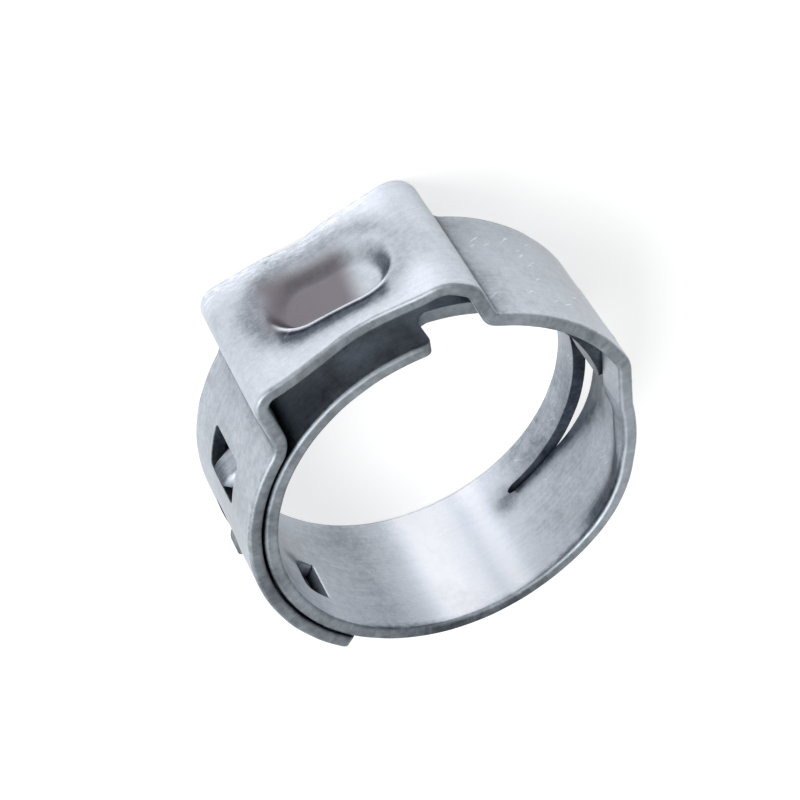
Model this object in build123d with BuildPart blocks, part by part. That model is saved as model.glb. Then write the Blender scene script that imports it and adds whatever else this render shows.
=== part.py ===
"""Stepless single-ear hose clamp, stamped and rolled from one strip of stainless steel.

The ring axis is +Z and passes through the origin. The clamp lies on the edge of its band at
z = 0 and the ear stands out towards +Y. Seen from above, the strip starts at its outer end on
the left, runs up and over the ear, comes down on the right as a raised outer layer, steps in
by one layer, goes round the bottom and ends in a tongue that passes under the ear.
"""
from build123d import *
from math import acos, cos, degrees, radians, sin
import os

# ---- strip and ring, mm ----
bore_radius = 7.65          # inside of the closed ring
band_width = 7.0
band_thick = 0.6
layer_gap = 0.10            # air left between overlapping layers
edge_break = 0.12           # the strip's long edges are broken by tumbling

# ---- ear ----
ear_half_width = 4.76       # middle of the leg sheets, at the foot
ear_lean = 0.09             # how much each leg leans in at the top
ear_rise = 1.40             # top sheet above the outer layer, at the corners
ear_sag = 0.09              # the top is a little lower in the middle
ear_bend = 0.8

# ---- angles round the ring, degrees from +X ----
outer_end_angle = 214.8
step_top_angle = 7.3
step_foot_angle = -7.7
step_bend = 1.2
near_slit_end = -16.0
far_slit_end = -76.0
band_full_angle = -88.0
inner_end_angle = 74.3
tongue_tip_angle = -8.0

# ---- tongue, and the raised field that receives it ----
tongue_width = 3.20
slot_clearance = 0.10       # each side of the tongue
tongue_corner = 0.75
root_corner = 0.60
end_corner = 0.50

# ---- hooks and windows ----
# each hook: angle of its tip, offset from the middle of the band, crest above the outer layer
hook_row = [(151.3, 0.0, 0.17), (177.6, 0.0, 0.19), (204.3, 1.0, 0.47)]
hook_length = 1.60          # along the ring, from the foot of the ramp to the sheared tip
hook_width = 2.15
hook_wall = 0.42
hook_round = 0.38
hook_sink = 0.02            # the ramp leaves the sheet from this far below its face
hook_hollow = 0.86          # the hollow under the ramp is this share of its length
hook_hollow_round = 0.26
window_side_gap = 0.25
window_foot_gap = 0.08
window_tip_gap = 0.32

# ---- stiffening dimple drawn into the top of the ear ----
dimple_length = 5.5
dimple_width = 3.7
dimple_depth = 0.42
dimple_taper = 38
dimple_round = 0.2

half = band_thick / 2
mid_height = band_width / 2
inner_mid = bore_radius + half
outer_mid = inner_mid + band_thick + layer_gap
inner_top = bore_radius + band_thick
outer_low = inner_top + layer_gap
outer_top = outer_low + band_thick
mid_gap = inner_top + layer_gap / 2
layer_step = band_thick + layer_gap
ear_height = outer_mid + ear_rise
leg_angle = degrees(acos(ear_half_width / outer_mid))
slot_low = mid_height - tongue_width / 2 - slot_clearance
slot_high = mid_height + tongue_width / 2 + slot_clearance
hook_turn = degrees(hook_length / outer_mid)
window_width = hook_width + 2 * window_side_gap
window_lead = hook_turn + degrees(window_foot_gap / outer_mid)
window_tail = degrees(window_tip_gap / outer_mid)


def polar(radius, angle):
    """A point in the ring's plane."""
    return (radius * cos(radians(angle)), radius * sin(radians(angle)))


def sector(r_in, r_out, start, end):
    """A piece of ring in plan, drawn in the sketch that is open."""
    with BuildLine() as outline:
        low = CenterArc((0, 0), r_in, start, end - start)
        high = CenterArc((0, 0), r_out, start, end - start)
        Line(low @ 0, high @ 0)
        Line(low @ 1, high @ 1)
    make_face(outline.edges())


def radial_plane(angle):
    """The plane that holds the axis at this angle: local x is radius, local y is height."""
    return Plane(origin=(0, 0, 0), x_dir=(cos(radians(angle)), sin(radians(angle)), 0),
                 z_dir=(sin(radians(angle)), -cos(radians(angle)), 0))


def section(angle, inner):
    """The sheet cut by the plane at this angle; inner lists (lift, height) up its inner face.

    A lift is the share of one layer by which the face stands off the ring.
    """
    face = [(bore_radius + lift * layer_step, height) for lift, height in inner]
    back = [(r + band_thick, height) for r, height in reversed(face)]
    if face[-1][1] == band_width:
        rim, top = face.pop()[0], band_width - edge_break
        back[0] = (rim + band_thick - edge_break, band_width)
        face += [(rim, top), (rim + edge_break, band_width)]
        back.insert(1, (rim + band_thick, top))
    plane = radial_plane(angle)
    return Face(Wire.make_polygon([plane.from_local_coords((r, h, 0)) for r, h in face + back]))


def mouth_section(angle, low_lift, high_lift):
    """Between the two slits: a flat strip of sheet, lifted off the ring."""
    return section(angle, [(low_lift, slot_low), (high_lift, slot_high)])


def field_section(angle, slit_lift, crease_low, crease_lift, crease_high, rim_lift):
    """Beside the far slit only: lifted at the slit, coming down to the rim over a crease.

    The crease's two heights are shares of the way from the slit to the rim.
    """
    height = band_width - slot_low
    return section(angle, [(slit_lift, slot_low),
                           (crease_lift, slot_low + crease_low * height),
                           (rim_lift, slot_low + crease_high * height),
                           (rim_lift, band_width)])


def scoop(r_foot, r_crest, start, end, width, back_round):
    """A ramp that rises from the sheet to a sheared tip, rounded along its back."""
    r_start = r_foot - hook_sink
    r_root = r_start - back_round - 0.05
    with BuildPart(mode=Mode.PRIVATE) as ramp:
        with BuildSketch():
            with BuildLine() as outline:
                back = Spline(polar(r_start, start), polar(r_crest, end),
                              tangents=[(-sin(radians(start)), cos(radians(start))),
                                        (-sin(radians(end)), cos(radians(end)))])
                tip_face = Line(back @ 1, polar(r_root, end))
                root = Line(tip_face @ 1, polar(r_root, start))
                Line(root @ 1, back @ 0)
            make_face(outline.edges())
        extrude(amount=width / 2, both=True)
        fillet(ramp.edges().filter_by(GeomType.BSPLINE), back_round)
    return ramp.part


def corner_edges(part, radius, angle, reach):
    """Edges through the sheet's thickness at this angle, this far either side of the middle."""
    x, y = polar(radius, angle)
    return part.edges().filter_by(
        lambda e: abs(e.center().X - x) < 0.05 and abs(e.center().Y - y) < 0.05
        and abs(abs(e.center().Z - mid_height) - reach) < 0.01 and e.length < 1.2 * band_thick)


def on_rim(edge):
    """True for edges that lie in the bottom or top plane of the band."""
    box = edge.bounding_box()
    return box.max.Z < 0.001 or box.min.Z > band_width - 0.001


def is_ear_bend(vertex):
    """True for the four bends of the ear."""
    return vertex.Y > 0 and abs(abs(vertex.X) - ear_half_width) < ear_lean + 0.001


def is_step_bend(vertex):
    """True for the two bends of the step."""
    return vertex.X > inner_mid * 0.98 and abs(vertex.Y) < inner_mid * 0.2


def is_dimple_edge(edge):
    """True for the rim and the floor edge of the dimple, on the top of the ear."""
    box = edge.bounding_box()
    inside = abs(box.max.X) < dimple_length / 2 + 0.1 and box.min.Z > mid_height - dimple_width / 2 - 0.1
    return inside and box.max.Z < mid_height + dimple_width / 2 + 0.1 and box.min.Y > ear_height - 0.2


with BuildPart() as clamp_band:
    # the whole strip in one sweep of sheet: outer end, ear, raised layer, step, ring, inner end
    with BuildSketch():
        with BuildLine() as strip:
            left_arc = CenterArc((0, 0), outer_mid, outer_end_angle,
                                 180 - leg_angle - outer_end_angle)
            left_leg = Line(left_arc @ 1, (-ear_half_width + ear_lean, ear_height))
            top = ThreePointArc(left_leg @ 1, (0, ear_height - ear_sag),
                                (ear_half_width - ear_lean, ear_height))
            Line(top @ 1, polar(outer_mid, leg_angle))
            CenterArc((0, 0), outer_mid, leg_angle, step_top_angle - leg_angle)
            Line(polar(outer_mid, step_top_angle), polar(inner_mid, step_foot_angle))
            CenterArc((0, 0), inner_mid, step_foot_angle, inner_end_angle - 360 - step_foot_angle)
            fillet(strip.vertices().filter_by(is_ear_bend), ear_bend)
            fillet(strip.vertices().filter_by(is_step_bend), step_bend)
        trace(line_width=band_thick)
    extrude(amount=band_width)
    # between the side strips the sheet is slit free, as far as it is lifted off the ring
    with BuildSketch(Plane.XY.offset(slot_low)):
        sector(bore_radius - 0.2, outer_top + 0.2, step_top_angle + 1, near_slit_end)
    extrude(amount=slot_high - slot_low, mode=Mode.SUBTRACT)
    # tongue, under the ear to the mouth of the lifted field
    with BuildSketch(Plane.XY.offset(mid_height - tongue_width / 2)):
        sector(bore_radius, inner_top, inner_end_angle + 3, tongue_tip_angle)
    extrude(amount=tongue_width)
    # corners of both ends and of the tongue, then the strip's long edges
    fillet(corner_edges(clamp_band, inner_mid, tongue_tip_angle, tongue_width / 2), tongue_corner)
    fillet(corner_edges(clamp_band, inner_mid, inner_end_angle, tongue_width / 2), root_corner)
    fillet(corner_edges(clamp_band, inner_mid, inner_end_angle, mid_height), end_corner)
    fillet(corner_edges(clamp_band, outer_mid, outer_end_angle, mid_height), end_corner)
    chamfer(clamp_band.edges().filter_by(on_rim), edge_break)
    # windows in the outer layer
    for tip, offset, _ in hook_row:
        with BuildSketch(Plane.XY.offset(mid_height + offset - window_width / 2)):
            sector(mid_gap, outer_top + 0.3, tip - window_lead, tip + window_tail)
        extrude(amount=window_width, mode=Mode.SUBTRACT)
    # hooks: each a scoop pressed out of the inner layer, sheared open at its tip
    for tip, offset, crest in hook_row:
        with Locations((0, 0, mid_height + offset)):
            add(scoop(inner_top, outer_top + crest, tip - hook_turn, tip,
                      hook_width, hook_round))
            add(scoop(bore_radius, outer_low + crest, tip - hook_turn * hook_hollow, tip,
                      hook_width - 2 * hook_wall, hook_hollow_round), mode=Mode.SUBTRACT)
    # past the near slit the sheet is cut away up to the rim, to be replaced by the field
    with BuildSketch(Plane.XY.offset(slot_low)):
        sector(bore_radius - 0.2, outer_top + 0.2, near_slit_end, band_full_angle)
    extrude(amount=band_width, mode=Mode.SUBTRACT)
    # the field's mouth runs on at the outer layer's height while the ring steps in beneath it
    loft([mouth_section(step_top_angle + 1, 1.00, 1.00),
          mouth_section(0.0, 1.02, 1.00),
          mouth_section(-8.0, 1.14, 1.02),
          mouth_section(near_slit_end, 1.27, 0.98)])
    # then it comes back down over a slanting crease, still free along the far slit
    loft([field_section(near_slit_end, 1.27, 0.62, 0.98, 0.71, 0.00),
          field_section(-24.0, 1.35, 0.60, 0.90, 0.76, 0.00),
          field_section(-32.0, 1.36, 0.66, 0.72, 0.88, 0.03),
          field_section(-41.0, 1.25, 0.72, 0.50, 0.94, 0.15),
          field_section(-50.0, 0.93, 0.72, 0.36, 0.94, 0.20),
          field_section(-58.0, 0.60, 0.70, 0.28, 0.94, 0.18),
          field_section(-67.0, 0.50, 0.68, 0.20, 0.94, 0.08),
          field_section(far_slit_end, 0.45, 0.66, 0.13, 0.94, 0.02),
          field_section(band_full_angle, 0.00, 0.66, 0.00, 0.94, 0.00)])
    # dimple in the top of the ear: drawn down, so the underside bulges as deep
    with BuildSketch(Plane(origin=(0, ear_height + half + 0.1, mid_height),
                           x_dir=(1, 0, 0), z_dir=(0, -1, 0))):
        SlotOverall(dimple_length + 0.15, dimple_width + 0.15)
    extrude(amount=dimple_depth + 0.1, taper=dimple_taper, mode=Mode.SUBTRACT)
    fillet(clamp_band.edges().filter_by(is_dimple_edge), dimple_round)
    with BuildSketch(Plane(origin=(0, ear_height - half, mid_height),
                           x_dir=(1, 0, 0), z_dir=(0, -1, 0))):
        SlotOverall(dimple_length - 0.5, dimple_width - 0.5)
    extrude(amount=dimple_depth, taper=dimple_taper)

clamp_band.part.label = "clamp_band"
os.makedirs("parts", exist_ok=True)
export_step(clamp_band.part, "parts/clamp_band.step")
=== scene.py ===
from math import acos, asin, ceil, cos, degrees, pi, radians, sin, tan

import bpy
import numpy as np
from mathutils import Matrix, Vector
from mathutils.geometry import delaunay_2d_cdt
from mathutils.kdtree import KDTree


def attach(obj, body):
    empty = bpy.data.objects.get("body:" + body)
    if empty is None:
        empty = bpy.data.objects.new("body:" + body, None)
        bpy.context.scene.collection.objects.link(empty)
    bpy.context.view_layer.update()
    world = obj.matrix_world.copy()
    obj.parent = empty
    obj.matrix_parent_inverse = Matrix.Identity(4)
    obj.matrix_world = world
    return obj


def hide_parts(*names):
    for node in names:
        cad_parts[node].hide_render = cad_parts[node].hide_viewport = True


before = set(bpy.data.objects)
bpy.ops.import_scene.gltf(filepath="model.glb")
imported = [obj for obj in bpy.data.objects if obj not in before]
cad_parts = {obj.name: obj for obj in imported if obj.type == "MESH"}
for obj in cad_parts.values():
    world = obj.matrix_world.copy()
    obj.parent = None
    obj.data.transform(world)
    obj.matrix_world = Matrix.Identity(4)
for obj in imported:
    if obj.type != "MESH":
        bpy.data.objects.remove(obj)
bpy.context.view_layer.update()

MM = 0.001

# ---------------------------------------------------------------- strip dimensions, mm
# A place in the strip is s, along it from its outer end; z, across it, which is the frame's Z
# with the near rim at WIDTH; and n, through it, outwards from its middle.
BORE = 7.65
WIDTH = 7.0
THICK = 0.6
GAP = 0.1
HALF = THICK / 2
LAYER = THICK + GAP
INNER_MID = BORE + HALF
OUTER_MID = INNER_MID + LAYER
MID = WIDTH / 2

EAR_HALF = 4.76
EAR_LEAN = 0.09
EAR_TOP = OUTER_MID + 1.40
EAR_SAG = 0.09
EAR_DIP = 0.36
LEFT_FOOT_BEND = 1.25
RIGHT_FOOT_BEND = 1.0
LEFT_BEND = 0.66
RIGHT_BEND = 0.92
STEP_BEND = 1.6

OUTER_END = 214.8
STEP_TOP = 7.3
STEP_FOOT = -7.7
INNER_END = 74.3 - 360
TONGUE_TIP = -8.0 - 360
SLIT_START = 8.3
NEAR_SLIT_END = -16.0
FAR_SLIT_END = -76.0
SLIT_LOW = 1.8
SLIT_HIGH = 5.2
TONGUE_LOW = 1.9
TONGUE_HIGH = 5.1

# the dimple in the ear's top: a stadium a little off the middle, turned a little
DIMPLE_RADIUS = 1.85
DIMPLE_STRAIGHT = 1.0
DIMPLE_OFFSET = -0.25
DIMPLE_TURN = 8.0
DIMPLE_DEPTH = 0.46
DIMPLE_SPAN = 4.2
DISH_DEPTH = 0.12
DISH_REACH = 3.0
NEAR_DRAW = 0.60
FAR_DRAW = 0.34

# hooks: angle of the tip, offset across the band, crest above the inner layer
HOOKS = [(151.3 - 360, 0.0, 0.87), (177.6 - 360, 0.0, 0.89), (204.3 - 360, 1.0, 1.17)]
HOOK_HALF = 1.075
HOOK_FLANK = 0.60
HOOK_TURN = degrees(1.60 / OUTER_MID)
WINDOW_HALF = 1.325
WINDOW_LEAD = HOOK_TURN + degrees(0.08 / OUTER_MID)
WINDOW_TAIL = degrees(0.32 / OUTER_MID)

# corners and cuts of the flat pattern
END_CORNER = 0.5
SHOULDER_CORNER = 0.45
SHOULDER_SLANT_LOW = -0.05
SHOULDER_SLANT_HIGH = 0.10
ROOT_CORNER = 0.55
TIP_CORNER_LOW = 0.75
TIP_CORNER_HIGH = 0.80
WINDOW_CORNER = 0.18
SLIT_W = 0.035
MOUTH_W = 0.02
CUT_CORNER = 0.98       # rounding of a slit's end, as a share of its half width

# the lifted field: angle, lift at the far slit, foot and top of the crease as shares of the
# way from the slit to the rim, lift at the crease, lift at the rim; lifts in layers
FIELD = [(8.3, 1.00, 0.62, 1.00, 0.71, 0.00),
         (0.0, 1.02, 0.62, 1.00, 0.71, 0.00),
         (-8.0, 1.14, 0.62, 1.02, 0.71, 0.00),
         (-16.0, 1.27, 0.62, 0.98, 0.71, 0.00),
         (-24.0, 1.35, 0.60, 0.90, 0.76, 0.00),
         (-32.0, 1.36, 0.66, 0.72, 0.88, 0.03),
         (-41.0, 1.25, 0.72, 0.50, 0.94, 0.15),
         (-50.0, 0.93, 0.72, 0.36, 0.94, 0.20),
         (-58.0, 0.60, 0.70, 0.28, 0.94, 0.18),
         (-67.0, 0.50, 0.68, 0.20, 0.94, 0.08),
         (-76.0, 0.46, 0.66, 0.13, 0.94, 0.02),
         (-80.5, 0.22, 0.66, 0.05, 0.94, 0.00),
         (-86.0, 0.03, 0.66, 0.00, 0.94, 0.00),
         (-90.0, 0.00, 0.66, 0.00, 0.94, 0.00)]
FIELD_END = -100.0
RIMS_JOIN = -10.0       # the strips beside the slits follow the field from here on


# ---------------------------------------------------------------- centre line of the strip
LINE_STEP = 0.01
OVERRUN = 4.0       # degrees by which the line runs on past both ends of the strip


def polar(radius, angle):
    return (radius * cos(radians(angle)), radius * sin(radians(angle)))


def arc_run(radius, start, end, centre=(0.0, 0.0)):
    count = int(abs(radians(end - start)) * radius / LINE_STEP) + 2
    a = np.radians(np.linspace(start, end, count))
    return np.stack([centre[0] + radius * np.cos(a), centre[1] + radius * np.sin(a)], axis=1)


def line_run(a, b):
    a, b = np.array(a, float), np.array(b, float)
    count = int(np.linalg.norm(b - a) / LINE_STEP) + 2
    return a + (b - a) * np.linspace(0, 1, count)[:, None]


def lengths(run):
    return np.concatenate([[0], np.cumsum(np.linalg.norm(np.diff(run, axis=0), axis=1))])


def unit(v):
    return v / np.linalg.norm(v)


def bend(first, second, radius):
    """Two runs that share a corner, cut back and joined by a smooth bend of this radius."""
    turn = acos(max(-1, min(1, float(unit(first[-1] - first[-4]) @ unit(second[3] - second[0])))))
    reach = radius * tan(turn / 2)
    along = lengths(first)
    first = first[along < along[-1] - reach]
    second = second[lengths(second) > reach]
    p0, p3 = first[-1], second[0]
    handle = radius * tan(turn / 4) * 4 / 3
    p1 = p0 + unit(first[-1] - first[-3]) * handle
    p2 = p3 - unit(second[2] - second[0]) * handle
    t = np.linspace(0, 1, int(radius * turn / LINE_STEP) + 4)[1:-1, None]
    curve = (1 - t) ** 3 * p0 + 3 * (1 - t) ** 2 * t * p1 + 3 * (1 - t) * t ** 2 * p2 + t ** 3 * p3
    return np.concatenate([first, curve, second])


foot_angle = degrees(acos(EAR_HALF / OUTER_MID))
ear_x = EAR_HALF - EAR_LEAN
top_radius = (ear_x ** 2 + EAR_SAG ** 2) / (2 * EAR_SAG)
top_swing = degrees(asin(ear_x / top_radius))
run = arc_run(OUTER_MID, OUTER_END + OVERRUN, 180 - foot_angle)
run = bend(run, line_run(polar(OUTER_MID, 180 - foot_angle), (-ear_x, EAR_TOP)), LEFT_FOOT_BEND)
run = bend(run, arc_run(top_radius, -90 - top_swing, -90 + top_swing,
                        (0, EAR_TOP - EAR_SAG + top_radius)), LEFT_BEND)
run = bend(run, line_run((ear_x, EAR_TOP), polar(OUTER_MID, foot_angle)), RIGHT_BEND)
run = bend(run, arc_run(OUTER_MID, foot_angle, STEP_TOP), RIGHT_FOOT_BEND)
run = bend(run, line_run(polar(OUTER_MID, STEP_TOP), polar(INNER_MID, STEP_FOOT)), STEP_BEND)
run = bend(run, arc_run(INNER_MID, STEP_FOOT, TONGUE_TIP - OVERRUN), STEP_BEND)

raw = lengths(run)
S = np.arange(0, raw[-1], LINE_STEP)
X = np.interp(S, raw, run[:, 0])
Y = np.interp(S, raw, run[:, 1])


def smoothed(values, count):
    """A running mean that leaves both ends alone."""
    kernel = np.ones(count) / count
    wide = np.concatenate([np.full(count, values[0]), values, np.full(count, values[-1])])
    return np.convolve(wide, kernel, "same")[count:-count]


PHI = np.degrees(np.unwrap(np.arctan2(Y, X)))
PHI += round((OUTER_END + OVERRUN - PHI[0]) / 360) * 360


def s_at(angle):
    """Distance along the strip at this angle round the ring, unwound."""
    return float(np.interp(-angle, -PHI, S))


# ---------------------------------------------------------------- shape of the sheet
def ease(x):
    x = np.clip(x, 0, 1)
    return x * x * (3 - 2 * x)


def hump(x, centre, half, soft):
    """1 within half of the centre, easing to 0 over soft."""
    return ease((half + soft - np.abs(x - centre)) / soft)


def bell(x, centre, half):
    return np.exp(-((x - centre) / half) ** 2)


def soft_ramp(x, width=0.25):
    return 0.5 * (x + np.sqrt(x * x + width * width))


fine = np.arange(FIELD_END, 14, 0.25)
columns = list(zip(*FIELD[::-1]))
slit_lift, low_share, crease_lift, high_share, rim_lift = [
    smoothed(smoothed(np.interp(fine, columns[0], c), 11), 11) for c in columns[1:]]
S_SLIT = s_at(SLIT_START)
EAR_S = s_at(90.0)


def lifted(phi, z, zone):
    """How far the sheet stands off the ring, in layers; zone is -1 on the far slit's far side,
    0 between the slits and 1 on the near slit's near side."""
    at_slit = np.interp(phi, fine, slit_lift)
    at_crease = np.interp(phi, fine, crease_lift)
    at_rim = np.interp(phi, fine, rim_lift)
    foot = SLIT_LOW + (WIDTH - SLIT_LOW) * np.interp(phi, fine, low_share)
    top = SLIT_LOW + (WIDTH - SLIT_LOW) * np.interp(phi, fine, high_share)
    slope = (at_crease - at_slit) / (foot - SLIT_LOW)
    steep = (at_rim - at_crease) / (top - foot)
    flat = at_slit + slope * (z - SLIT_LOW)
    whole = flat + (steep - slope) * soft_ramp(z - foot) - steep * soft_ramp(z - top)
    near_open = ease((phi - NEAR_SLIT_END) / 4)
    far_open = ease((phi - FAR_SLIT_END) / 2.2)
    spread = ease((z - SLIT_LOW + 0.7) / 1.4)
    between = ((1 - near_open) * whole + near_open * flat) * (far_open + (1 - far_open) * spread)
    above = (1 - near_open) * whole
    below = (1 - far_open) * whole * spread
    return np.where(zone == 0, between, np.where(zone > 0, above, below))


def drawn_in(s, z):
    """How far the dimple has drawn the rims of the ear together, along Z."""
    x = s - EAR_S
    near = (np.clip(z - MID, 0, None) / MID) ** 1.3
    far = (np.clip(MID - z, 0, None) / MID) ** 1.6
    pull = FAR_DRAW * bell(x, -0.3, 1.0) * far - NEAR_DRAW * bell(x, 0.1, 2.5) * near
    return pull * ease((4.7 - np.abs(x)) / 0.8)


def middle(s, z, zone):
    """The middle of the sheet, in space."""
    x, y = np.interp(s, S, X), np.interp(s, S, Y)
    # the ear's right foot sinks towards the near rim
    y = y - EAR_DIP * hump(s - EAR_S, 5.4, 0.8, 1.3) * ease((z - MID) / MID)
    radius = np.hypot(x, y)
    phi = np.interp(s, S, PHI)
    value = lifted(phi, z, zone) * LAYER
    between = (INNER_MID + value - radius) * ease((SLIT_START - phi) / 0.6)
    beside = value * ease(RIMS_JOIN - phi)
    shift = np.where(zone == 0, between, beside) * (phi > FIELD_END)
    return np.stack([x * (1 + shift / radius), y * (1 + shift / radius), z + drawn_in(s, z)],
                    axis=-1)


def dimple_axes(s, z):
    """Along and across the dimple."""
    x, v = s - EAR_S, z - MID - DIMPLE_OFFSET
    turn = radians(DIMPLE_TURN)
    return x * cos(turn) + v * sin(turn), v * cos(turn) - x * sin(turn)


def stadium_reach(a, b, radius, straight):
    """Distance in from the outline of a stadium."""
    return radius - np.hypot(np.maximum(np.abs(a) - straight, 0), b)


def dimple(a, b):
    """Depth drawn into the ear's top, steeper on the near side, and the shallow dish round it."""
    slope_width = 1.02 - 0.42 * np.tanh(b / 0.7)
    inside_by = stadium_reach(a, b, DIMPLE_RADIUS, DIMPLE_STRAIGHT)
    deep = (DIMPLE_DEPTH + 0.10 * b) * ease(inside_by / slope_width)
    return deep + DISH_DEPTH * ease(stadium_reach(a - 0.2, b, DISH_REACH, 0.9) / 2.2)


def hook_share(k, s, z):
    """How far up its ramp the sheet stands at a hook, from 0 to 1."""
    tip, offset, _ = HOOKS[k]
    s_tip, s_foot = s_at(tip), s_at(tip - HOOK_TURN)
    return ease((s_foot - s) / (s_foot - s_tip)) \
        * ease((HOOK_HALF - np.abs(z - MID - offset)) / HOOK_FLANK)


def formed(s, z, raised):
    """The dimple, the hooks and a faint waviness, along the sheet's thickness."""
    out = np.where(np.abs(s - EAR_S) < DIMPLE_SPAN, -dimple(*dimple_axes(s, z)), 0.0)
    for k, (_, _, crest) in enumerate(HOOKS):
        out = out + np.where(raised[k], crest * hook_share(k, s, z), 0.0)
    out = out + 0.005 * np.sin(2.1 * s + 0.9 * z) * np.sin(0.83 * s - 1.3 * z + 1.0)
    return out + 0.004 * np.sin(3.7 * s + 2.3 * np.sin(0.9 * z)) * np.sin(1.9 * z + 0.4 * s)


STEP_H = 0.02       # step of the differences that give slopes


def placed(s, z, n, zone, raised):
    """A point of the sheet in space, n off its middle."""
    ds = middle(s + STEP_H, z, zone) - middle(s - STEP_H, z, zone)
    dz = middle(s, z + STEP_H, zone) - middle(s, z - STEP_H, zone)
    normal = np.cross(dz, ds)
    normal /= np.linalg.norm(normal, axis=1)[:, None]
    return middle(s, z, zone) + normal * (n + formed(s, z, raised))[:, None]


def facing(s, z, n, zone, raised, direction):
    """Surface normals in space, from directions given in (s, z, n)."""
    h = STEP_H
    js = placed(s + h, z, n, zone, raised) - placed(s - h, z, n, zone, raised)
    jz = placed(s, z + h, n, zone, raised) - placed(s, z - h, n, zone, raised)
    jn = placed(s, z, n + h, zone, raised) - placed(s, z, n - h, zone, raised)
    out = direction[:, :1] * np.cross(jz, jn) + direction[:, 1:2] * np.cross(jn, js) \
        + direction[:, 2:] * np.cross(js, jz)
    sign = np.sign(np.einsum("ij,ij->i", np.cross(js, jz), jn))
    out *= sign[:, None]
    return out / np.linalg.norm(out, axis=1)[:, None]


# ---------------------------------------------------------------- flat pattern
def rounded_loop(corners, spacing):
    """A closed outline, anticlockwise, through (s, z, radius) corners."""
    arcs = []
    for i, (cs, cz, r) in enumerate(corners):
        p = np.array((cs, cz))
        back = unit(np.array(corners[i - 1][:2]) - p)
        ahead = unit(np.array(corners[(i + 1) % len(corners)][:2]) - p)
        opening = acos(max(-1, min(1, float(back @ ahead))))
        centre = p + unit(back + ahead) * r / sin(opening / 2)
        reach = r / tan(opening / 2)
        u0, u1 = (p + back * reach - centre) / r, (p + ahead * reach - centre) / r
        a0 = np.arctan2(u0[1], u0[0])
        sweep = (np.arctan2(u1[1], u1[0]) - a0 + pi) % (2 * pi) - pi
        steps = max(3, ceil(abs(sweep) * r / (spacing * 0.6)))
        a = a0 + sweep * np.linspace(0, 1, steps + 1)
        arcs.append(centre + r * np.stack([np.cos(a), np.sin(a)], axis=1))
    points = []
    for i, arc in enumerate(arcs):
        points.extend(arc)
        start, end = arc[-1], arcs[(i + 1) % len(arcs)][0]
        gap = np.linalg.norm(end - start)
        count = ceil(gap / spacing)
        points.extend(start + (end - start) * k / count for k in range(1, count))
        if gap < 1e-6:
            points.pop()
    return np.array(points)


s0, s1, s2 = s_at(OUTER_END), s_at(INNER_END), s_at(TONGUE_TIP)
outline = rounded_loop([(s0, 0, END_CORNER),
                        (s1 + SHOULDER_SLANT_LOW, 0, SHOULDER_CORNER),
                        (s1, TONGUE_LOW, ROOT_CORNER),
                        (s2, TONGUE_LOW, TIP_CORNER_LOW),
                        (s2, TONGUE_HIGH, TIP_CORNER_HIGH),
                        (s1, TONGUE_HIGH, ROOT_CORNER),
                        (s1 + SHOULDER_SLANT_HIGH, WIDTH, SHOULDER_CORNER),
                        (s0, WIDTH, END_CORNER)], 0.16)


def box_loop(sa, sb, za, zb, r, spacing=0.10):
    return rounded_loop([(sa, za, r), (sb, za, r), (sb, zb, r), (sa, zb, r)], spacing)


def slit_loop(z, end):
    return box_loop(S_SLIT, s_at(end), z - SLIT_W, z + SLIT_W, SLIT_W * CUT_CORNER)


def hook_loops(tip, offset):
    """The cut that frees a hook's tip, and the window a turn above that it seats in."""
    low, high = MID + offset - HOOK_HALF, MID + offset + HOOK_HALF
    mouth = box_loop(s_at(tip) - MOUTH_W, s_at(tip) + MOUTH_W, low, high,
                     MOUTH_W * CUT_CORNER, 0.06)
    window = box_loop(s_at(tip + 360 + WINDOW_TAIL), s_at(tip + 360 - WINDOW_LEAD),
                      MID + offset - WINDOW_HALF, MID + offset + WINDOW_HALF, WINDOW_CORNER)
    return [mouth, window]


# loops are numbered: 0 the outline, 1 and 2 the slits, then a mouth and a window for each hook
holes = [slit_loop(SLIT_LOW, FAR_SLIT_END), slit_loop(SLIT_HIGH, NEAR_SLIT_END)]
for tip, offset, _ in HOOKS:
    holes.extend(hook_loops(tip, offset))


def outward(loop, hole):
    """Directions out of the material at each point of a loop."""
    ahead = np.roll(loop, -1, axis=0) - np.roll(loop, 1, axis=0)
    normal = np.stack([ahead[:, 1], -ahead[:, 0]], axis=1)
    normal /= np.linalg.norm(normal, axis=1)[:, None]
    return -normal if hole else normal


def edge_radii(number, loop, normal):
    """How far each point's edge is rounded: most along the rims, least at slits and mouths."""
    if number == 0:
        rim = 0.06 + 0.11 * np.clip(normal[:, 1] ** 2 * 1.5 - 0.5, 0, 1)
        return np.where(loop[:, 0] > s1 + 0.3, 0.05, smoothed(rim, 3))
    return np.full(len(loop), 0.03 if number < 3 or number % 2 else 0.05)


loops = [(outline, outward(outline, False))] + [(h, outward(h, True)) for h in holes]
radii = [edge_radii(number, loop, normal) for number, (loop, normal) in enumerate(loops)]
caps = [loop - normal * r[:, None] for (loop, normal), r in zip(loops, radii)]


def inside(points, polygons):
    """Even-odd test, a slice of points at a time."""
    result = np.zeros(len(points), bool)
    for polygon in polygons:
        a, b = polygon, np.roll(polygon, -1, axis=0)
        for k in range(0, len(points), 4000):
            p = points[k:k + 4000]
            crosses = (a[None, :, 1] > p[:, None, 1]) != (b[None, :, 1] > p[:, None, 1])
            with np.errstate(divide="ignore", invalid="ignore"):
                at = (b[:, 0] - a[:, 0]) * (p[:, None, 1] - a[:, 1]) / (b[:, 1] - a[:, 1]) + a[:, 0]
            result[k:k + 4000] ^= ((crosses & (p[:, None, 0] < at)).sum(axis=1) % 2).astype(bool)
    return result


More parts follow.
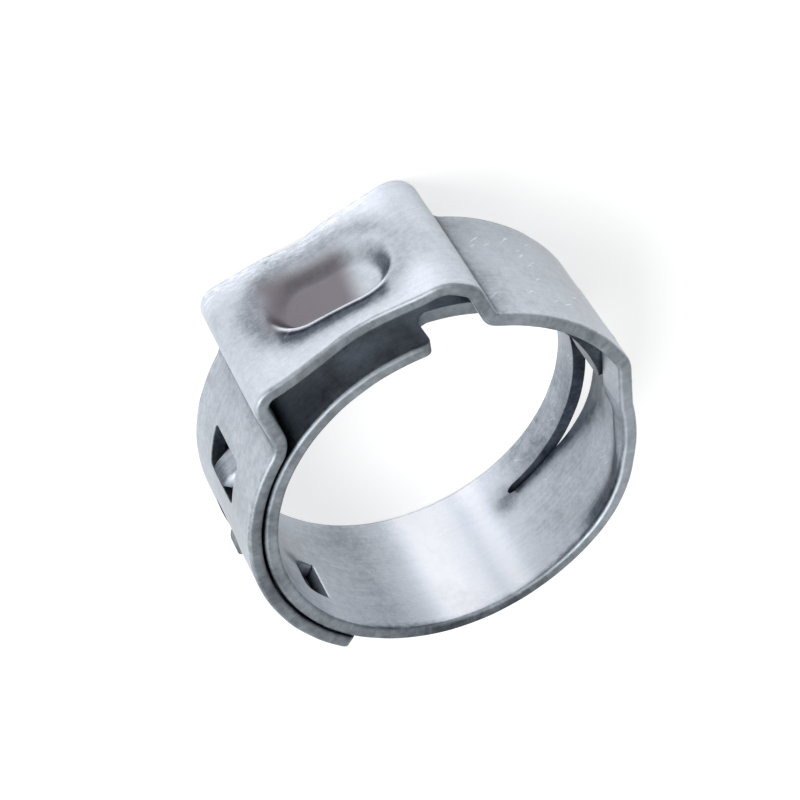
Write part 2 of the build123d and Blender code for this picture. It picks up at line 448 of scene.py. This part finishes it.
# zones of the grid: angle where each starts, spacing along the strip, spacing across it
BESIDE_EAR = 7.0        # degrees
ZONES = [(OUTER_END, 0.25, 0.25),
         (180 - foot_angle + BESIDE_EAR, 0.095, 0.125),
         (foot_angle - BESIDE_EAR, 0.22, 0.25),
         (11.0, 0.125, 0.125),
         (-92.0, 0.22, 0.25),
         (-150.0, 0.10, 0.10),
         (-224.0, 0.22, 0.25)]
ZONE_ENDS = [start for start, _, _ in ZONES[1:]] + [TONGUE_TIP]


def grid_points():
    """Staggered points over the flat pattern, kept clear of its outlines."""
    tree = KDTree(sum(len(cap) for cap in caps))
    for i, p in enumerate(np.concatenate(caps)):
        tree.insert((p[0], p[1], 0), i)
    tree.balance()
    grid = []
    for (start, ds, dz), end in zip(ZONES, ZONE_ENDS):
        first, last = s_at(start), s_at(end)
        count = round((last - first) / ds)
        rows = round(WIDTH / dz)
        for i in range(count):
            s = first + (last - first) * (i + 0.5) / count
            z = (np.arange(rows) + (0.25 if i % 2 else 0.75)) * WIDTH / rows
            grid.extend((s, v) for v in z if tree.find((s, v, 0))[2] > 0.55 * dz)
    grid = np.array(grid)
    return grid[inside(grid, caps)]


points = np.concatenate(caps + [grid_points()])
edges, offset = [], 0
for cap in caps:
    edges.extend((offset + k, offset + (k + 1) % len(cap)) for k in range(len(cap)))
    offset += len(cap)
out_points, _, out_faces, origin, _, _ = delaunay_2d_cdt(
    [Vector(p) for p in points], edges, [], 0, 1e-6, True)
flat = np.array([tuple(p) for p in out_points])
# where each point given to the triangulation came out
place = np.full(len(points), -1)
for i, sources in enumerate(origin):
    place[sources] = i
on_loop = np.zeros(len(flat), bool)
on_loop[place[:offset]] = True
tris = np.array(out_faces)
a, b, c = (flat[tris[:, k]] for k in range(3))
area = (b[:, 0] - a[:, 0]) * (c[:, 1] - a[:, 1]) - (b[:, 1] - a[:, 1]) * (c[:, 0] - a[:, 0])
tris[area < 0] = tris[area < 0][:, ::-1]
# triangles between loops may lie in a hole; those with a point of the grid cannot
doubtful = on_loop[tris].all(axis=1)
keep = np.ones(len(tris), bool)
keep[doubtful] = inside((a + b + c)[doubtful] / 3, caps)
tris = tris[keep & (np.abs(area) > 1e-9)]

# ---------------------------------------------------------------- both faces and all edges
# of every vertex: its place (s, z, n) in the sheet, the direction it faces there, how far it is
# round an edge from 0 to 1, and the number of its loop
rows_s, rows_z, rows_n, rows_dir, rows_wall, rows_loop = [], [], [], [], [], []
LONG_LOOP = 400     # loops of more points get one more row round each edge


def add_row(p, n, direction, wall, number):
    rows_s.append(p[:, 0])
    rows_z.append(p[:, 1])
    rows_n.append(np.broadcast_to(n, len(p)))
    rows_dir.append(direction)
    rows_wall.append(np.broadcast_to(float(wall), len(p)))
    rows_loop.append(np.full(len(p), number))


count = len(flat)
for side in (1, -1):
    add_row(flat, side * HALF, np.tile((0.0, 0.0, float(side)), (count, 1)), 0, -1)
faces = [tris, tris[:, ::-1] + count]
total = 2 * count
offset = 0
for number, ((loop, normal), r) in enumerate(zip(loops, radii)):
    m = len(loop)
    cap_ids = place[offset:offset + m]
    offset += m
    ring_ids = [cap_ids]
    angles = (30, 60, 90) if m > LONG_LOOP else (45, 90)
    for side, row_angles in ((1, angles), (-1, angles[::-1])):
        for degree in row_angles:
            u, v = sin(radians(degree)), cos(radians(degree))
            direction = np.column_stack([normal * u, np.full(m, side * v)])
            add_row(loop - normal * (r * (1 - u))[:, None], side * (HALF - r * (1 - v)),
                    direction, u, number)
            ring_ids.append(total + np.arange(m))
            total += m
    ring_ids.append(cap_ids + count)
    # the outline and the holes are all drawn anticlockwise, so a hole's walls turn round
    order = 1 if number == 0 else -1
    for upper, lower in zip(ring_ids, ring_ids[1:]):
        nu, nl = np.roll(upper, -1), np.roll(lower, -1)
        faces.append(np.stack([upper, lower, nl], axis=1)[:, ::order])
        faces.append(np.stack([upper, nl, nu], axis=1)[:, ::order])

ps, pz, pn, wall, loop_of = (np.concatenate(r) for r in (rows_s, rows_z, rows_n, rows_wall,
                                                         rows_loop))
direction = np.concatenate(rows_dir)
zone = np.where(pz > SLIT_HIGH, 1, np.where(pz < SLIT_LOW, -1, 0))
raised = [(ps > s_at(tip)) & (ps < s_at(tip - HOOK_TURN) + 0.3) for tip, _, _ in HOOKS]
position = placed(ps, pz, pn, zone, raised)
normals = facing(ps, pz, pn, zone, raised, direction)
faces = np.concatenate(faces)[:, ::-1]

# ---------------------------------------------------------------- tone of the steel, with painted light and shade
# Tones run from 0, dark, to 1, bright. Places are degrees round the ring, mm along the strip
# from the ear's middle, or mm across it from the far rim.
# Much of the tone is painted light and shade: painted highlights, reflections and shade laid into
# the steel's colour.
SKIN_TONE = 0.46
BORE_TONE = 0.41
# painted shade between the layers and, lighter, under the ear
LAYER_SHADE_TONE = 0.13
UNDER_EAR_SHADE_TONE = 0.40
# painted shade in the slits, windows, along the tongue's edge and in the hooks' mouths, and a
# painted highlight on each mouth's lip
SLIT_TONE = 0.10
WINDOW_TONE = 0.12
TONGUE_EDGE_TONE = 0.16
MOUTH_TONE = -0.12
LIP_TONE = 0.95

# painted reflection and shade in bands round the ring, in the bore and on the rims: amount, angle,
# half width
BORE_BANDS = [(0.44, -98, 19), (0.36, -110, 7), (0.16, -87, 3.5), (-0.10, -94, 2.5),
              (0.05, -155, 9), (-0.05, -133, 7)]
RIM_BANDS = [(0.22, -35, 30), (-0.25, -105, 35), (-0.10, 175, 35)]

phi_v = np.interp(ps, S, PHI)
outer_face = pn > 0
x_ear = ps - EAR_S
ear_reach = s_at(foot_angle) - EAR_S
along_dimple, across_dimple = dimple_axes(ps, pz)
pocket = sum(np.where(raised[k], hook_share(k, ps, pz), 0.0) for k in range(len(HOOKS)))

# painted light and shade along the ear: amount, centre, half width, fade; and how its painted light
# rises to the right
EAR_BANDS = [(0.25, -0.4, 3.5, 1.2), (0.04, 0.0, ear_reach - 0.8, 0.8), (-0.08, 0.0, 4.0, 1.0),
             (0.05, 3.6, 0.7, 0.8)]
EAR_RISE = 0.022
# painted shade in the bend of each foot: amount, half width
FOOT_SHADES = [(0.16, 0.28), (0.09, 0.75)]
# painted shade round the dimple, and more on its near side: amount, distance in from it, half width
LIP_SHADES = [(0.30, -0.38, 0.75)]
NEAR_LIP_SHADES = [(0.22, -0.50, 0.40), (0.30, -0.19, 0.13)]
# painted shade on the dimple's floor and walls and at a notch at its left end, and a painted
# highlight along its near lip
DIMPLE_FLOOR_SHADE = 0.10
DIMPLE_LEFT_SHADE = 0.36
DIMPLE_RIGHT_SHADE = 0.16
DIMPLE_NEAR_SHADE = 0.05
DIMPLE_NOTCH_SHADE = 0.35
GLINT = 0.55
# painted shade in the hooks' pockets and a painted highlight on their mouths' lips
POCKET_SHADE = 0.36
HOOK_LIP_LIGHT = 0.45


def bands(x, table):
    return sum(amount * bell(x, centre, half) for amount, centre, half in table)


def spot(x, x0, half_x, y, y0, half_y):
    """1 in the middle of a soft ellipse, fading to 0."""
    return np.exp(-((x - x0) / half_x) ** 2 - ((y - y0) / half_y) ** 2)


def skin_tone():
    """The outer face: painted light on the ear, painted shade on the flanks, in its feet and over
    the hooks.
    """
    tone = SKIN_TONE + sum(amount * hump(x_ear, *where) for amount, *where in EAR_BANDS)
    tone += EAR_RISE * x_ear * hump(x_ear, 0.0, 4.0, 1.0)
    # painted light along the ear's far rim and left of its middle and a little on the right band,
    # painted shade on the left band
    tone += 0.10 * bell(pz, 0.2, 0.8) * hump(x_ear, -1.2, 3.0, 1.5)
    tone += 0.05 * spot(x_ear, -3.4, 1.0, pz, 5.6, 1.6)
    for foot in (-ear_reach, ear_reach):
        tone -= sum(amount * bell(x_ear, foot, half) for amount, half in FOOT_SHADES)
    tone += 0.05 * hump(phi_v, 25, 20, 8) - 0.03 * hump(phi_v, 170, 40, 10)
    # painted shade over the hooks' ramps and crests
    return tone - 0.12 * pocket - 0.14 * ease((pocket - 0.6) / 0.4)


def dimple_tone():
    """Painted shade on the dimple's walls, a painted highlight along the top of the near one, and a
    dark pinkish-grey patch on its floor.
    """
    a, b = along_dimple, across_dimple
    slope_a = (dimple(a + 0.02, b) - dimple(a - 0.02, b)) / 0.04
    slope_b = (dimple(a, b + 0.02) - dimple(a, b - 0.02)) / 0.04
    reach_in = stadium_reach(a, b, DIMPLE_RADIUS, DIMPLE_STRAIGHT)
    near_side = ease((b - 0.3) / 0.6) * hump(a, -0.1, 2.1, 0.5)
    on_ear = hump(x_ear, 0.0, 3.9, 0.5)
    glint = bell(reach_in, 0.04, 0.15) * near_side * on_ear
    shade = bands(reach_in, LIP_SHADES)
    shade += bands(reach_in, NEAR_LIP_SHADES) * near_side
    shade += DIMPLE_FLOOR_SHADE * ease(reach_in / 0.7) + DIMPLE_NEAR_SHADE * ease(slope_b / 0.6)
    shade += DIMPLE_LEFT_SHADE * ease(-slope_a / 0.8) + DIMPLE_RIGHT_SHADE * ease(slope_a / 0.9)
    shade += DIMPLE_NOTCH_SHADE * spot(a, -2.50, 0.20, b, 0.55, 0.35)
    # a dark pinkish-grey patch on the dimple's floor, left of its middle
    dimple_patch = hump(a, -0.90, 1.25, 1.2) * hump(b, -0.10, 0.95, 1.15) * outer_face * (1 - glint)
    return GLINT * glint - on_ear * shade, dimple_patch * (1 - 0.06 * ease(slope_b / 0.5))


def bore_tone():
    """The inner face: painted reflection bright at the bottom, painted shade up both sides."""
    tone = BORE_TONE + bands(phi_v, BORE_BANDS) + 0.05 * bell(pz, 0.4, 0.8)
    # painted shade on the far strip beside the lifted field
    tone -= 0.12 * (pz < SLIT_LOW) * hump(phi_v, -35, 30, 12)
    # painted shade on the field: along the crease, inside the near rim, where the far slit ends,
    # and along the far slit's upper edge
    crease_z = SLIT_LOW + (WIDTH - SLIT_LOW) * np.interp(phi_v, fine, high_share)
    tone -= 0.30 * bell(pz, crease_z - 0.15, 0.42) * hump(phi_v, -34, 18, 14)
    tone -= 0.20 * bell(pz, WIDTH - 0.16, 0.12) * hump(phi_v, -85, 50, 20)
    tone -= 0.26 * spot(phi_v, -80.0, 4.5, pz, 2.3, 0.55)
    tone -= 0.14 * bell(pz, SLIT_LOW + 0.15, 0.35) * hump(phi_v, -50, 26, 6) * (pz > SLIT_LOW)
    # painted shade on the tongue's tip and the mouth over it
    tone -= 0.20 * ease((ps - s2 + 3.2) / 2.6)
    tone -= 0.24 * hump(phi_v, 2, 12, 10) * (zone == 0) * (ps < s1)
    # painted shade in the hooks' pockets and at the foot of the third, a painted highlight on the
    # lip of each mouth
    tone -= POCKET_SHADE * pocket + 0.24 * spot(phi_v, -166.5, 4.2, pz, 3.75, 0.42)
    for tip, offset, _ in HOOKS:
        lip = (np.abs(pz - MID - offset) < HOOK_HALF - 0.1) & (ps < s_at(tip))
        tone += HOOK_LIP_LIGHT * bell(ps, s_at(tip) - 0.05, 0.06) * lip
    return tone


def edge_tone():
    """The cut edges: painted light and shade on the rims by their place round the ring, painted
    shade in the cuts, a painted highlight on each mouth's lip.
    """
    tone = np.where(loop_of <= 2, SLIT_TONE, WINDOW_TONE)
    tone = np.where(loop_of == 0, SKIN_TONE + bands(phi_v, RIM_BANDS), tone)
    tone = np.where((loop_of == 0) & (ps > s2 - 4.5) & (pz > MID), TONGUE_EDGE_TONE, tone)
    for k, (tip, _, _) in enumerate(HOOKS):
        mouth = loop_of == 3 + 2 * k
        tone = np.where(mouth, MOUTH_TONE, tone)
        tone = np.where(mouth & (ps < s_at(tip)) & (pn < -0.22), LIP_TONE, tone)
    return tone


def layer_and_ear_shade():
    """Where painted shade falls: darkest between the layers, lighter under the ear."""
    covered = np.where(outer_face, hump(phi_v, -190, 47, 3) * (1 - ease(pocket / 0.35)),
                       hump(phi_v, 170, 44, 2))
    under_ear = np.where(outer_face, hump(phi_v, 90 - 360, 32, 3),
                         hump(ps, EAR_S, ear_reach - 0.3, 0.9))
    return covered * (1 - 0.85 * wall), under_ear * (1 - 0.85 * wall)


dimple_change, dimple_patch = dimple_tone()
tone = np.where(outer_face, skin_tone() + dimple_change, bore_tone())
tone = tone * (1 - wall) + edge_tone() * wall
# painted shade between the layers and under the ear
covered, under_ear = layer_and_ear_shade()
tone = tone * (1 - under_ear) + UNDER_EAR_SHADE_TONE * under_ear
tone = tone * (1 - covered) + LAYER_SHADE_TONE * covered
matt = np.clip(np.sin(wall * pi) ** 2 + 0.6 * wall + pocket * outer_face, 0, 1)
rim_gap = np.minimum(pz, WIDTH - pz)
rubbed = 0.45 * np.exp(-rim_gap / 0.30) * (1 - 0.6 * wall) * (1 - np.maximum(under_ear, covered))
rubbed += 0.6 * bell(pz, 0.1, 0.8) * hump(x_ear, -0.8, 3.4, 1.2) * outer_face
scuffed = hump(phi_v, 32, 18, 8) * outer_face * (1 - wall)

# ---------------------------------------------------------------- the piece
mesh = bpy.data.meshes.new("clamp_strip")
mesh.from_pydata((position * MM).tolist(), [], faces.tolist())
mesh.polygons.foreach_set("use_smooth", np.ones(len(faces), bool))
on_strip = mesh.attributes.new("strip", "FLOAT_VECTOR", "POINT")
on_strip.data.foreach_set("vector", np.column_stack([ps, pz, 0 * ps]).astype(np.float32).ravel())
for name, values in (("wall", wall), ("tone", tone), ("dimple_patch", dimple_patch), ("rubbed", rubbed),
                     ("scuffed", scuffed), ("matt", matt)):
    layer = mesh.attributes.new(name, "FLOAT", "POINT")
    layer.data.foreach_set("value", values.astype(np.float32))
mesh.update()
mesh.normals_split_custom_set_from_vertices(normals.tolist())
strip = bpy.data.objects.new("clamp_strip", mesh)
bpy.context.scene.collection.objects.link(strip)
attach(strip, "root")
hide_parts("clamp_band")


# ---------------------------------------------------------------- steel
class Nodes:
    """Short calls for building a node tree."""

    def __init__(self, material):
        material.use_nodes = True
        self.tree = material.node_tree
        self.shader = self.tree.nodes["Principled BSDF"]

    def feed(self, socket, value):
        if isinstance(value, bpy.types.NodeSocket):
            self.tree.links.new(value, socket)
        else:
            socket.default_value = value

    def add(self, kind, inputs=(), **settings):
        node = self.tree.nodes.new(kind)
        for key, value in settings.items():
            setattr(node, key, value)
        for key, value in dict(inputs).items():
            self.feed(node.inputs[key], value)
        return node

    def attribute(self, name):
        return self.add("ShaderNodeAttribute", attribute_name=name).outputs["Fac"]

    def math(self, operation, a, b=0.0, c=0.0):
        return self.add("ShaderNodeMath", {0: a, 1: b, 2: c}, operation=operation).outputs[0]

    def stretch(self, vector, scale):
        return self.add("ShaderNodeVectorMath", {0: vector, 1: scale},
                        operation="MULTIPLY").outputs[0]

    def noise(self, vector, scale, detail, rough):
        return self.add("ShaderNodeTexNoise", {"Vector": vector, "Scale": scale, "Detail": detail,
                                               "Roughness": rough}).outputs["Fac"]

    def span(self, value, low, high, to_low=0.0, to_high=1.0):
        return self.add("ShaderNodeMapRange", {"Value": value, "From Min": low, "From Max": high,
                                               "To Min": to_low, "To Max": to_high},
                        interpolation_type="SMOOTHSTEP").outputs["Result"]

    def blend(self, factor, a, b, mode="MIX"):
        node = self.add("ShaderNodeMix", data_type="RGBA", blend_type=mode)
        self.feed(node.inputs["Factor"], factor)
        self.feed(node.inputs[6], a)
        self.feed(node.inputs[7], b)
        return node.outputs[2]


# textures: scale per mm, or stretch along and across the strip
CLOUD_SCALE = 0.55
MOTTLE_SCALE = 3.2
GRAIN_SCALE = 14.0
STREAK_STRETCH = (0.22, 7.0, 1)
FLECK_STRETCH = (2.2, 6.5, 1)
SCRATCH_STRETCH = (0.7, 5.5, 1)
SCRATCH_TURN = 38
# how far each moves the tone
CLOUD_TONE = 0.045
MOTTLE_TONE = 0.045
STREAK_TONE = 0.028
GRAIN_TONE = 0.032
WORN_TONE = 0.34
PIT_TONE = -0.30
SCRATCH_TONE = 0.22
# how much each adds to the bump's height
STREAK_HEIGHT = 0.25
MOTTLE_HEIGHT = 0.35
GRAIN_HEIGHT = 0.12
SCRATCH_HEIGHT = -0.4
BUMP_DEPTH = 0.02 * MM
BUMP_STRENGTH = 0.35

STEEL_RAMP = [(0.0, (0.018, 0.022, 0.036)), (0.2, (0.125, 0.143, 0.172)),
              (0.5, (0.50, 0.54, 0.59)), (0.75, (0.74, 0.78, 0.86)), (1.0, (0.93, 0.95, 1.0))]
EDGE_TINT = (0.95, 0.98, 0.96, 1)
DIMPLE_PATCH_COLOUR = (0.180, 0.158, 0.176, 1)
MATT_ROUGHNESS = 0.24

steel = bpy.data.materials.new("stainless_steel")
nodes = Nodes(steel)
on_sheet = nodes.add("ShaderNodeAttribute", attribute_name="strip").outputs["Vector"]
turned = nodes.add("ShaderNodeVectorRotate", {"Vector": on_sheet, "Angle": radians(SCRATCH_TURN)},
                   rotation_type="Z_AXIS").outputs["Vector"]
object_place = nodes.add("ShaderNodeTexCoord").outputs["Object"]
in_mm = nodes.stretch(object_place, (1 / MM, 1 / MM, 1 / MM))
wall_v = nodes.attribute("wall")
rubbed_v = nodes.attribute("rubbed")

clouds = nodes.noise(in_mm, CLOUD_SCALE, 4.0, 0.55)
mottle = nodes.noise(in_mm, MOTTLE_SCALE, 5.0, 0.65)
grain = nodes.noise(in_mm, GRAIN_SCALE, 3.0, 0.6)
streaks = nodes.noise(nodes.stretch(on_sheet, STREAK_STRETCH), 1.0, 5.0, 0.7)
flecks = nodes.noise(nodes.stretch(on_sheet, FLECK_STRETCH), 1.0, 4.0, 0.72)
scratch_field = nodes.noise(nodes.stretch(turned, SCRATCH_STRETCH), 1.0, 1.0, 0.5)

# scratches: few, on open skin, where it is scuffed or a cloud is thick
open_skin = nodes.math("SUBTRACT", 1.0, wall_v)
scuffs = nodes.math("MAXIMUM", nodes.attribute("scuffed"), nodes.span(clouds, 0.46, 0.56, 0.0, 0.4))
scratch = nodes.math("MULTIPLY", nodes.span(scratch_field, 0.685, 0.74),
                     nodes.math("MULTIPLY", scuffs, open_skin))

# the tone, with its painted light and shade, moved by every texture, gives the colour
level = nodes.math("ADD", nodes.attribute("tone"),
                   nodes.span(clouds, 0.3, 0.7, -CLOUD_TONE, CLOUD_TONE))
level = nodes.math("ADD", level, nodes.span(mottle, 0.3, 0.7, -MOTTLE_TONE, MOTTLE_TONE))
level = nodes.math("ADD", level, nodes.span(streaks, 0.25, 0.75, -STREAK_TONE, STREAK_TONE))
skin = nodes.math("SUBTRACT", 1.0, nodes.math("MULTIPLY", wall_v, 0.7))
level = nodes.math("MULTIPLY_ADD", nodes.span(grain, 0.2, 0.8, -GRAIN_TONE, GRAIN_TONE), skin,
                   level)
worn = nodes.math("MULTIPLY", rubbed_v, nodes.span(flecks, 0.47, 0.62))
level = nodes.math("MULTIPLY_ADD", worn, WORN_TONE, level)
pits = nodes.math("MULTIPLY", nodes.span(rubbed_v, 0.3, 0.6),
                  nodes.span(flecks, 0.34, 0.40, 1.0, 0.0))
level = nodes.math("MULTIPLY_ADD", pits, PIT_TONE, level)
level = nodes.math("MULTIPLY_ADD", scratch, SCRATCH_TONE, level)
ramp_node = nodes.add("ShaderNodeValToRGB", {0: level})
ramp = ramp_node.color_ramp
ramp.elements[0].color = (*STEEL_RAMP[0][1], 1)
ramp.elements[1].color = (*STEEL_RAMP[-1][1], 1)
for stop, colour in STEEL_RAMP[1:-1]:
    ramp.elements.new(stop).color = (*colour, 1)
colour = nodes.blend(nodes.math("MULTIPLY", wall_v, 0.5), ramp_node.outputs["Color"], EDGE_TINT,
                     "MULTIPLY")
# lay the dark pinkish-grey patch into the dimple's floor
colour = nodes.blend(nodes.math("MULTIPLY", nodes.attribute("dimple_patch"), 0.92), colour, DIMPLE_PATCH_COLOUR)
nodes.feed(nodes.shader.inputs["Base Color"], colour)
nodes.shader.inputs["Metallic"].default_value = 1.0

rough = nodes.span(clouds, 0.3, 0.7, 0.34, 0.44)
rough = nodes.math("ADD", rough, nodes.span(mottle, 0.3, 0.7, -0.05, 0.05))
rough = nodes.math("MULTIPLY_ADD", nodes.attribute("matt"), MATT_ROUGHNESS, rough)
nodes.feed(nodes.shader.inputs["Roughness"], rough)

height = nodes.math("MULTIPLY", streaks, STREAK_HEIGHT)
height = nodes.math("MULTIPLY_ADD", mottle, MOTTLE_HEIGHT, height)
height = nodes.math("MULTIPLY_ADD", grain, GRAIN_HEIGHT, height)
height = nodes.math("MULTIPLY_ADD", scratch, SCRATCH_HEIGHT, height)
bump_node = nodes.add("ShaderNodeBump", {"Height": height, "Strength": BUMP_STRENGTH,
                                         "Distance": BUMP_DEPTH})
nodes.feed(nodes.shader.inputs["Normal"], bump_node.outputs["Normal"])
mesh.materials.append(steel)

# ---------------------------------------------------------------- camera
CAMERA_PLACE = (1.157, 73.936, 73.894)
CAMERA_TURN = (-40.9985, -21.3451, -23.6468)
CAMERA_LENS = 109.24
CAMERA_SENSOR = 36.0

scene = bpy.context.scene
scene.view_settings.view_transform = "Standard"
camera_data = bpy.data.cameras.new("camera")
camera_data.lens = CAMERA_LENS
camera_data.sensor_width = CAMERA_SENSOR
camera_data.clip_start = 0.005
camera_data.clip_end = 5.0
camera = bpy.data.objects.new("camera", camera_data)
camera.location = Vector(CAMERA_PLACE) * MM
camera.rotation_euler = [radians(angle) for angle in CAMERA_TURN]
scene.collection.objects.link(camera)
scene.camera = camera

# ---------------------------------------------------------------- floor
# the floor glows a little to the camera alone; its paint is what light bounces off, and what
# the camera sees
FLOOR_HALF = 2.0
FLOOR_GLOW = 0.68
FLOOR_TRUE = (0.95, 0.95, 0.95, 1)
FLOOR_SEEN = (0.55, 0.55, 0.55, 1)

floor_mesh = bpy.data.meshes.new("floor")
corners = [(-1, -1), (1, -1), (1, 1), (-1, 1)]
floor_mesh.from_pydata([(FLOOR_HALF * x, FLOOR_HALF * y, 0) for x, y in corners], [],
                       [(0, 1, 2, 3)])
floor = bpy.data.objects.new("floor", floor_mesh)
scene.collection.objects.link(floor)
floor_paint = bpy.data.materials.new("floor")
paint = Nodes(floor_paint)
paint.shader.inputs["Roughness"].default_value = 0.9
paint.shader.inputs["Specular IOR Level"].default_value = 0.0
paint.shader.inputs["Emission Color"].default_value = (1, 1, 1, 1)
path = paint.add("ShaderNodeLightPath").outputs
seen = paint.math("MAXIMUM", path["Is Camera Ray"], path["Is Glossy Ray"])
seen = paint.math("MAXIMUM", seen, path["Is Transmission Ray"])
paint.feed(paint.shader.inputs["Emission Strength"], paint.math("MULTIPLY", seen, FLOOR_GLOW))
paint.feed(paint.shader.inputs["Base Color"], paint.blend(seen, FLOOR_TRUE, FLOOR_SEEN))
floor_mesh.materials.append(floor_paint)

# ---------------------------------------------------------------- light
KEY_PLACE = (-0.42, 0.22, 0.52)
KEY_AIM = (0, 0, 0.004)
KEY_SIZE = 0.45
KEY_WATTS = 3.9
WORLD_COLOUR = (0.97, 0.985, 1, 1)
WORLD_STRENGTH = 0.40

lamp = bpy.data.lights.new("key", "AREA")
lamp.shape = "RECTANGLE"
lamp.size = KEY_SIZE
lamp.size_y = KEY_SIZE
lamp.energy = KEY_WATTS
key = bpy.data.objects.new("key", lamp)
key.location = KEY_PLACE
key.rotation_euler = (Vector(KEY_AIM) - Vector(KEY_PLACE)).to_track_quat("-Z", "Y").to_euler()
scene.collection.objects.link(key)

world = bpy.data.worlds.new("world")
world.use_nodes = True
background = world.node_tree.nodes["Background"]
background.inputs["Color"].default_value = WORLD_COLOUR
background.inputs["Strength"].default_value = WORLD_STRENGTH
scene.world = world
